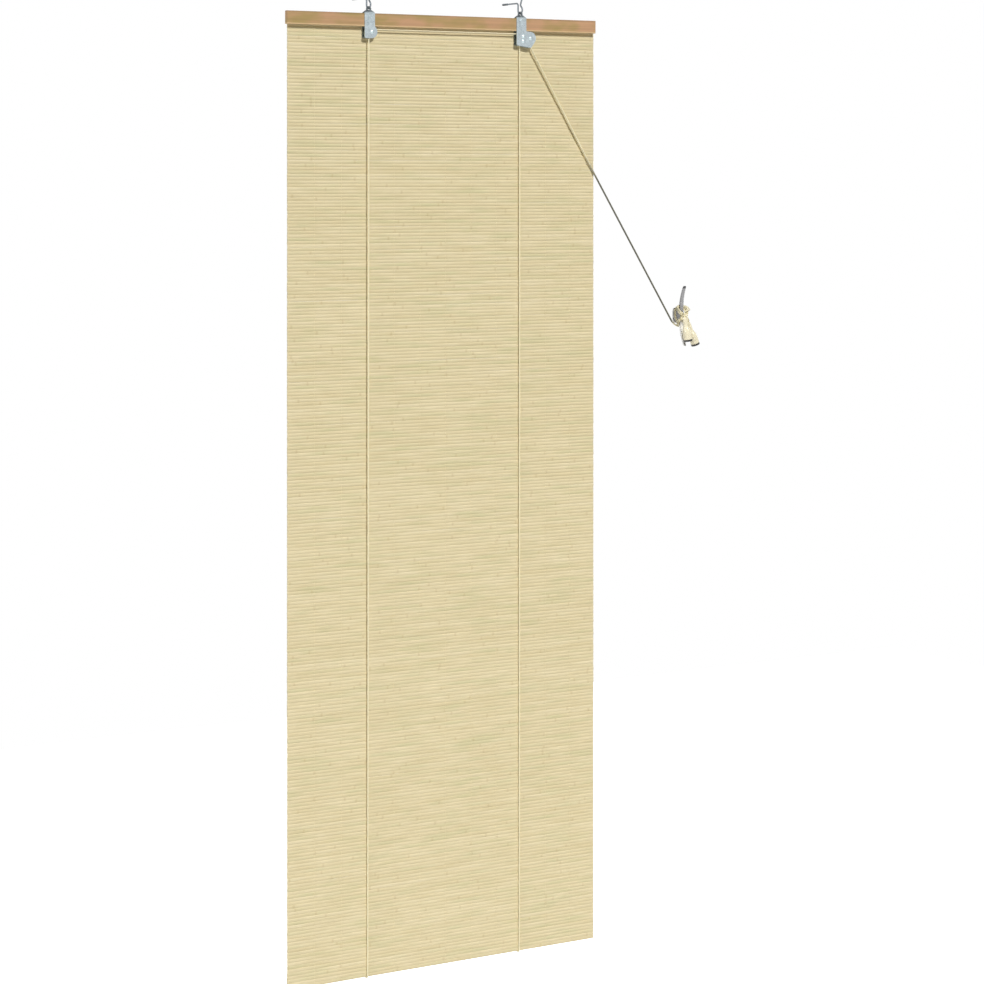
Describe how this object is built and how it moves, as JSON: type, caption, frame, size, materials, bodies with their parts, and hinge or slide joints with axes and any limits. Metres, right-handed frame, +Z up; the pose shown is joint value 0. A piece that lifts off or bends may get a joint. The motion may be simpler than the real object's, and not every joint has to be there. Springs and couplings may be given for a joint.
{
  "type": "bamboo roll up blind",
  "caption": "Roll-up blind of split bamboo sticks on a wooden head rail, hung on screw hooks by folded straps with pulleys and a cord lock, its cords wound on a wall cleat.",
  "frame": {"origin": "on the wall's face, midway between the axes of the two hook screws", "axes": "+X along the head rail to the right seen from the room, +Y into the wall, +Z up"},
  "size_m": [0.831, 0.069, 1.6363],
  "materials": {
    "rail_wood": "planed, unvarnished",
    "bamboo": "split sticks, natural",
    "batten_wood": "planed",
    "zinc_plated_steel": "bright zinc plate",
    "staple_wire": "galvanised wire",
    "pulley_nylon": "moulded",
    "cotton_cord": "braided cord",
    "cleat_alloy": "die cast, satin",
    "turned_wood": "turned, clear lacquer"
  },
  "bodies": {
    "hanger": {"left_hook": "zinc_plated_steel", "right_hook": "zinc_plated_steel", "left_bracket": "zinc_plated_steel", "right_bracket": "zinc_plated_steel", "left_pulley_axle": "zinc_plated_steel", "right_pulley_axle": "zinc_plated_steel", "guide_pin": "zinc_plated_steel", "lock_cam_axle": "zinc_plated_steel", "left_lift_cord": "cotton_cord", "right_lift_cord": "cotton_cord", "left_pull_cord": "cotton_cord", "right_pull_cord": "cotton_cord", "cord_wrap": "cotton_cord", "left_cord_tail": "cotton_cord", "right_cord_tail": "cotton_cord", "head_rail": "rail_wood", "mat": "bamboo", "staples": "staple_wire", "cleat": "cleat_alloy", "left_pull": "turned_wood", "right_pull": "turned_wood"},
    "batten": {"bottom_batten": "batten_wood"},
    "left_sheave": {"left_pulley": "pulley_nylon"},
    "right_sheave": {"right_pulley": "pulley_nylon"},
    "cam": {"lock_cam": "zinc_plated_steel"}
  },
  "joints": [
    {"name": "blind_lift", "type": "slide", "parent": "hanger", "child": "batten", "axis": [0, 0, 1], "range_m": [0, 1.45], "deforming": ["mat", "left_lift_cord", "right_lift_cord"]},
    {"name": "left_pulley_turn", "type": "hinge", "parent": "hanger", "child": "left_sheave", "pos_m": [-0.1446, -0.038, -0.057], "axis": [0, 1, 0], "continuous": true},
    {"name": "right_pulley_turn", "type": "hinge", "parent": "hanger", "child": "right_sheave", "pos_m": [0.1524, -0.038, -0.057], "axis": [0, 1, 0], "continuous": true},
    {"name": "lock_cam_swing", "type": "hinge", "parent": "hanger", "child": "cam", "pos_m": [0.1667, -0.038, -0.0599], "axis": [0, 1, 0], "range_deg": [-35, 12]}
  ],
  "couplings": [
    {"joint": "left_pulley_turn", "follows": "blind_lift", "rad_per_m": 476.19},
    {"joint": "right_pulley_turn", "follows": "blind_lift", "rad_per_m": 476.19}
  ]
}
